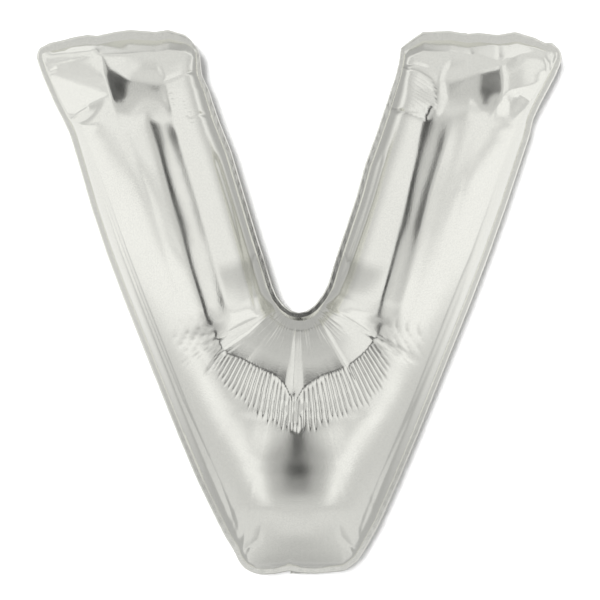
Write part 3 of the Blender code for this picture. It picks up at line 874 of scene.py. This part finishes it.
# Filling tail. Both films run on below the foot as a narrow pocket with sealed sides, and the gas goes in
# through it. Once the balloon is full it is folded up behind the letter, just clear of the back sheet.
TAIL_THICK = 0.0022
TAIL_SEAM = 0.004
TAIL_CRUMPLE = 0.0003
TAIL_CLEAR = 0.0016
TAIL_FROM = 0.013
TAIL_ROOT = ((0.0026, 0.0012), (0.0027, 0.005), (0.0035, 0.009))
TAIL_STEPS = 70
TAIL_TURNS = 30
TUBE_SIDES = 28
SEAM_HALF_THICK = 0.00015


def square_to(path):
    """Directions square to a path of y and z, to its outer side."""
    run = np.gradient(path, axis=0)
    run /= np.linalg.norm(run, axis=1, keepdims=True)
    return np.stack([run[:, 1], -run[:, 0]], axis=-1)


def flat_tube(name, path, width, thickness, seam, crumpled, material):
    """A flat pocket along a path of y and z, thick in the middle and pressed to a seam down each side."""
    turn = np.linspace(0, 2 * math.pi, TUBE_SIDES, endpoint=False)
    x = 0.5 * width * np.cos(turn)
    inner = np.clip((0.5 * width - np.abs(x) - seam) / (0.5 * width - seam), 0, 1)
    lift = SEAM_HALF_THICK + (0.5 * thickness - SEAM_HALF_THICK) * np.sqrt(inner)
    lift = np.where(np.abs(np.sin(turn)) < 1e-6, 0, np.sign(np.sin(turn)) * lift)
    crumple = crumpled * wander(np.arange(len(path))[None, :] / 5 + x[:, None] * 150 + 500, 50)
    lift = lift[:, None] + crumple
    points = np.zeros((TUBE_SIDES, len(path), 3))
    points[..., 0] = x[:, None]
    points[..., 1:] = path[None] + lift[..., None] * square_to(path)[None]
    return grid_object(name, points, material, ring=True)


tail_low, tail_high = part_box("inflation_tail")
tail_width = tail_high[0] - tail_low[0]
sheet_line = back_points[ROWS // 2, ::-1, 1:]
sheet_line = sheet_line[(sheet_line[:, 1] > TAIL_FROM) & (sheet_line[:, 1] < tail_high[2] + 0.02)][::2]
line = np.vstack([TAIL_ROOT, sheet_line + TAIL_CLEAR * square_to(sheet_line)])
line = along(line, np.linspace(0, 1, TAIL_STEPS), TAIL_TURNS)
tail_end = np.argmax(line[:, 1] > tail_high[2] - 0.001)
tail_line = line[:tail_end]
tail_film = silver_film("tail_silver_film")
tail = flat_tube("filling_tail", tail_line, tail_width, TAIL_THICK, TAIL_SEAM, TAIL_CRUMPLE, tail_film)
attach(tail, "root")
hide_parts("inflation_tail")

# Valve sleeve. A flat tube of thin clear film, sealed into the mouth of the tail with its end sticking out.
# It is the valve: once the balloon is full the gas inside presses its two walls together.
SLEEVE_THICK = 0.0008
SLEEVE_SEAM = 0.002
SLEEVE_STEPS_INSIDE = 8
SLEEVE_STEPS_OUTSIDE = 12
SLEEVE_OUTSIDE = (0.001, 0.013)
SLEEVE_CLEAR = (0.90, 0.92, 0.92)
SLEEVE_ALPHA = 0.4
SLEEVE_ROUGHNESS = (0.08, 0.30)

clear_film, tree, shader = new_material("clear_sleeve_film")
shader.inputs["Base Color"].default_value = (*SLEEVE_CLEAR, 1.0)
shader.inputs["Alpha"].default_value = SLEEVE_ALPHA
grain = tree.nodes.new("ShaderNodeGroup")
grain.node_tree = foil_grain
tree.links.new(ranged(tree, grain.outputs["Cloud"], (0, 1), SLEEVE_ROUGHNESS), shader.inputs["Roughness"])

sleeve_low, sleeve_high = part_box("valve_sleeve")
sleeve_width = sleeve_high[0] - sleeve_low[0]
run = tail_line[-1] - tail_line[-2]
run /= np.linalg.norm(run)
outside_part = tail_line[-1] + run * np.linspace(*SLEEVE_OUTSIDE, SLEEVE_STEPS_OUTSIDE)[:, None]
sleeve_line = np.vstack([tail_line[-SLEEVE_STEPS_INSIDE:], outside_part])
sleeve = flat_tube("valve_sleeve_film", sleeve_line, sleeve_width, SLEEVE_THICK, SLEEVE_SEAM, 0, clear_film)
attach(sleeve, "root")
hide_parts("valve_sleeve")

# Stage. A pale paper floor and a white paper backdrop stand in a white tent, lit by one soft lamp beside the
# camera. The foil mirrors all of it. Only its reflections show the painted glow of the floor and backdrop,
# and the dark card in front of the camera and the grey screen before the fan, which paint dark reflections.
PAPER = (0.88, 0.88, 0.88)
PAPER_ROUGHNESS = 0.9


def paper(name):
    """Plain matt paper, and its node tree."""
    material, tree, shader = new_material(name)
    shader.inputs["Base Color"].default_value = (*PAPER, 1.0)
    shader.inputs["Roughness"].default_value = PAPER_ROUGHNESS
    return material, tree


def flat_piece(name, low, high, material):
    """A level or upright piece of the stage from its low left corner to the corner opposite."""
    corners = [low, (high[0], low[1], low[2]), high, (low[0], high[1], high[2])]
    mesh = bpy.data.meshes.new(name)
    mesh.from_pydata(corners, [], [(0, 1, 2, 3)])
    mesh.materials.append(material)
    thing = new_object(name, mesh)
    return thing


def ramp(tree, value, low, high, start, end):
    """Eases from start to end as a value goes from low to high."""
    return ranged(tree, value, (low, high), (start, end), "SMOOTHSTEP")


def worked_out(tree, operation, *values):
    """The result of a sum on values, each of them a number or what another node gives."""
    node = tree.nodes.new("ShaderNodeMath")
    node.operation = operation
    for slot, value in zip(node.inputs, values):
        if isinstance(value, float):
            slot.default_value = value
        else:
            tree.links.new(value, slot)
    return node.outputs["Value"]


def places(tree, kind="Object"):
    """How far a place is to either side of the middle, and its y and z."""
    place = tree.nodes.new("ShaderNodeTexCoord")
    split = tree.nodes.new("ShaderNodeSeparateXYZ")
    tree.links.new(place.outputs[kind], split.inputs[0])
    return worked_out(tree, "ABSOLUTE", split.outputs["X"]), split.outputs["Y"], split.outputs["Z"]


def mixed(tree, share, first, second):
    """A share of the second surface mixed into the first."""
    mixer = tree.nodes.new("ShaderNodeMixShader")
    for slot, value in zip(mixer.inputs, (share, first, second)):
        tree.links.new(value, slot)
    return mixer.outputs["Shader"]


def glowing_in_mirrors(tree, strength):
    """The tree's paper, with a painted glow in its place where a reflection shows it."""
    glow = tree.nodes.new("ShaderNodeEmission")
    tree.links.new(strength, glow.inputs["Strength"])
    path = tree.nodes.new("ShaderNodeLightPath")
    matt = tree.nodes["Principled BSDF"].outputs["BSDF"]
    return mixed(tree, path.outputs["Is Glossy Ray"], matt, glow.outputs["Emission"])


# The floor. Its painted glow in reflections changes with the distance from the letter, dimmer near it as
# painted shade: from, to, glow before, glow after.
FLOOR_AT = -0.12
FLOOR_HALF = 12
FLOOR_GLOW = (0.10, 0.32, 0.54, 0.78)
FLOOR_GLOW_FURTHER = (0.5, 1.0, 0, -0.08)
FLOOR_GLOW_FAR = (1.4, 2.3, 0, 0.33)

floor_paper, tree = paper("pale_floor")
place = tree.nodes.new("ShaderNodeTexCoord")
away = tree.nodes.new("ShaderNodeVectorMath")
away.operation = "LENGTH"
tree.links.new(place.outputs["Object"], away.inputs[0])
strength = ramp(tree, away.outputs["Value"], *FLOOR_GLOW)
for change in (FLOOR_GLOW_FURTHER, FLOOR_GLOW_FAR):
    strength = worked_out(tree, "ADD", strength, ramp(tree, away.outputs["Value"], *change))
tree.links.new(glowing_in_mirrors(tree, strength), tree.nodes["Material Output"].inputs["Surface"])
flat_piece("floor", (-FLOOR_HALF, -FLOOR_HALF, FLOOR_AT), (FLOOR_HALF, FLOOR_HALF, FLOOR_AT), floor_paper)

# The backdrop. It can't be seen from behind. Its painted glow in reflections grows to the sides and upwards.
BACKDROP_AT = 0.125
BACKDROP_HALF = 2
BACKDROP_TOP = 3
BACKDROP_SIDES = ((0.12, 0.45), (0.0, 0.48))
BACKDROP_RISE = ((0.05, 0.40), (0.0, 1.0))
BACKDROP_GLOW = 0.50

backdrop_paper, tree = paper("white_backdrop")
sideways, y, z = places(tree)
outwards = ranged(tree, sideways, *BACKDROP_SIDES)
upwards = ranged(tree, z, *BACKDROP_RISE)
bright = worked_out(tree, "MULTIPLY_ADD", outwards, upwards, BACKDROP_GLOW)
shown = glowing_in_mirrors(tree, bright)
seen = tree.nodes.new("ShaderNodeNewGeometry")
clear = tree.nodes.new("ShaderNodeBsdfTransparent")
one_sided = mixed(tree, seen.outputs["Backfacing"], shown, clear.outputs["BSDF"])
tree.links.new(one_sided, tree.nodes["Material Output"].inputs["Surface"])
flat_piece("backdrop", (-BACKDROP_HALF, BACKDROP_AT, FLOOR_AT), (BACKDROP_HALF, BACKDROP_AT, BACKDROP_TOP),
           backdrop_paper)

# The lamp, which isn't mirrored in the foil, and the camera. Angles are in degrees.
LAMP_STRENGTH = 3.3
LAMP_SOFTNESS = 7
LAMP_HEIGHT = 4
LAMP_ASIDE = -5
CAMERA_AT = (0.0009, -8.0, 0.487)
SENSOR_WIDE = 36

lamp_data = bpy.data.lights.new("key", "SUN")
lamp_data.energy = LAMP_STRENGTH
lamp_data.angle = math.radians(LAMP_SOFTNESS)
lamp = new_object("key", lamp_data)
lamp.rotation_euler = (math.radians(90 - LAMP_HEIGHT), 0.0, math.radians(LAMP_ASIDE))
lamp.visible_glossy = False

camera_data = bpy.data.cameras.new("camera")
camera = new_object("camera", camera_data)
camera.location = CAMERA_AT
camera.rotation_euler = (math.radians(90), 0, 0)
camera_data.sensor_width = SENSOR_WIDE
camera_data.lens = SENSOR_WIDE * -CAMERA_AT[1] / PHOTO_WIDE
bpy.context.scene.camera = camera

# The dark card and the grey screen, seen only in reflections, paint dark reflections in the foil. Each shade
# is from, to, shade before, shade after.
SCREEN_BLACK = (0.05, 0.05, 0.05, 1)
CARD_AT = -1.26
CARD_LOW_CORNER = (-1.5, CARD_AT, -0.11)
CARD_HIGH_CORNER = (1.5, CARD_AT, 1.8)
STRIPE_WIDER_UP = (1.05, 1.25, 0, 0.07)
STRIPE_SIDES = (0.05, 0.16, 1, 0)
STRIPE_FOOT = (0.02, 0.15, 0, 1)
STRIPE_TOP = (1.32, 1.5, 1, 0)
CARD_SIDES = (0.1, 0.8, 0.45, 0)
CARD_TOP = (0.16, 0.48, 1, 0)
CARD_FOOT = (-0.10, 0.06, 0, 1)
OVERHEAD_AT = 0.57
OVERHEAD_LOW_CORNER = (-0.1, -0.4, OVERHEAD_AT)
OVERHEAD_HIGH_CORNER = (0.1, -0.01, OVERHEAD_AT)
OVERHEAD_SIDES = (0.02, 0.10, 0.34, 0)
OVERHEAD_BACK = (-0.36, -0.14, 0, 1)


def card_shade(tree, sideways, y, z):
    """A dark stripe up the middle, wider near its top, over a paler patch at its foot."""
    across = worked_out(tree, "SUBTRACT", sideways, ramp(tree, z, *STRIPE_WIDER_UP))
    stripe = worked_out(tree, "MULTIPLY", ramp(tree, across, *STRIPE_SIDES), ramp(tree, z, *STRIPE_FOOT))
    stripe = worked_out(tree, "MULTIPLY", stripe, ramp(tree, z, *STRIPE_TOP))
    patch = worked_out(tree, "MULTIPLY", ramp(tree, sideways, *CARD_SIDES), ramp(tree, z, *CARD_TOP))
    patch = worked_out(tree, "MULTIPLY", patch, ramp(tree, z, *CARD_FOOT))
    return worked_out(tree, "MAXIMUM", stripe, patch)


def overhead_shade(tree, sideways, y, z):
    """A grey strip that fades to both sides and towards the camera."""
    return worked_out(tree, "MULTIPLY", ramp(tree, sideways, *OVERHEAD_SIDES), ramp(tree, y, *OVERHEAD_BACK))


def dark_screen(name, shade):
    """A see-through black for painted dark reflections, as dark at each place as a shade function gives."""
    material, tree, shader = new_material(name)
    tree.nodes.clear()
    output = tree.nodes.new("ShaderNodeOutputMaterial")
    clear = tree.nodes.new("ShaderNodeBsdfTransparent")
    dark = tree.nodes.new("ShaderNodeEmission")
    dark.inputs["Color"].default_value = SCREEN_BLACK
    surface = mixed(tree, shade(tree, *places(tree)), clear.outputs["BSDF"], dark.outputs["Emission"])
    tree.links.new(surface, output.inputs["Surface"])
    return material


card = flat_piece("camera_card", CARD_LOW_CORNER, CARD_HIGH_CORNER, dark_screen("dark_card", card_shade))
overhead = flat_piece("overhead_screen", OVERHEAD_LOW_CORNER, OVERHEAD_HIGH_CORNER,
                      dark_screen("grey_screen", overhead_shade))
for screen in (card, overhead):
    screen.visible_camera = False
    screen.visible_shadow = False
    screen.visible_diffuse = False

# The tent. Brighter panels stand to both sides in front, and the roof is brighter than the walls. The camera
# sees all of it as plain white. Each row is from, to, light before, light after, for a direction's own parts.
PANEL_SIDES = (0.10, 0.30, 0, 1)
PANEL_FRONT = (-0.45, 0.0, 1, 0)
PANEL_FOOT = (-0.05, 0.09, 0, 1)
PANEL_TOP = (0.5, 0.8, 1, 0)
PANEL_LIGHT = 0.28
WALL_LIGHT = (-0.5, 0.3, 0.76, 0.66)
ROOF_LIGHT = (0.5, 0.85, 1.0, 1.2)
CAMERA_LIGHT = 1.0
LIGHT_ON_PAPER = (1.0, 0.5)

world = bpy.data.worlds.new("white_tent")
world.use_nodes = True
bpy.context.scene.world = world
tree = world.node_tree
background = tree.nodes["Background"]
background.inputs["Color"].default_value = (1.0, 1.0, 1.0, 1.0)
sideways, y, z = places(tree, "Generated")
panels = worked_out(tree, "MULTIPLY", ramp(tree, sideways, *PANEL_SIDES), ramp(tree, y, *PANEL_FRONT))
for limit in (PANEL_FOOT, PANEL_TOP):
    panels = worked_out(tree, "MULTIPLY", panels, ramp(tree, z, *limit))
tent = worked_out(tree, "MULTIPLY", ramp(tree, z, *WALL_LIGHT), ramp(tree, z, *ROOF_LIGHT))
path = tree.nodes.new("ShaderNodeLightPath")
pick = tree.nodes.new("ShaderNodeMix")
pick.data_type = "FLOAT"
pick.inputs["B"].default_value = CAMERA_LIGHT
tree.links.new(path.outputs["Is Camera Ray"], pick.inputs["Factor"])
tree.links.new(worked_out(tree, "MULTIPLY_ADD", panels, PANEL_LIGHT, tent), pick.inputs["A"])
dimmed = ranged(tree, path.outputs["Is Diffuse Ray"], (0, 1), LIGHT_ON_PAPER)
tree.links.new(worked_out(tree, "MULTIPLY", pick.outputs["Result"], dimmed), background.inputs["Strength"])
bpy.context.scene.view_settings.view_transform = "Standard"
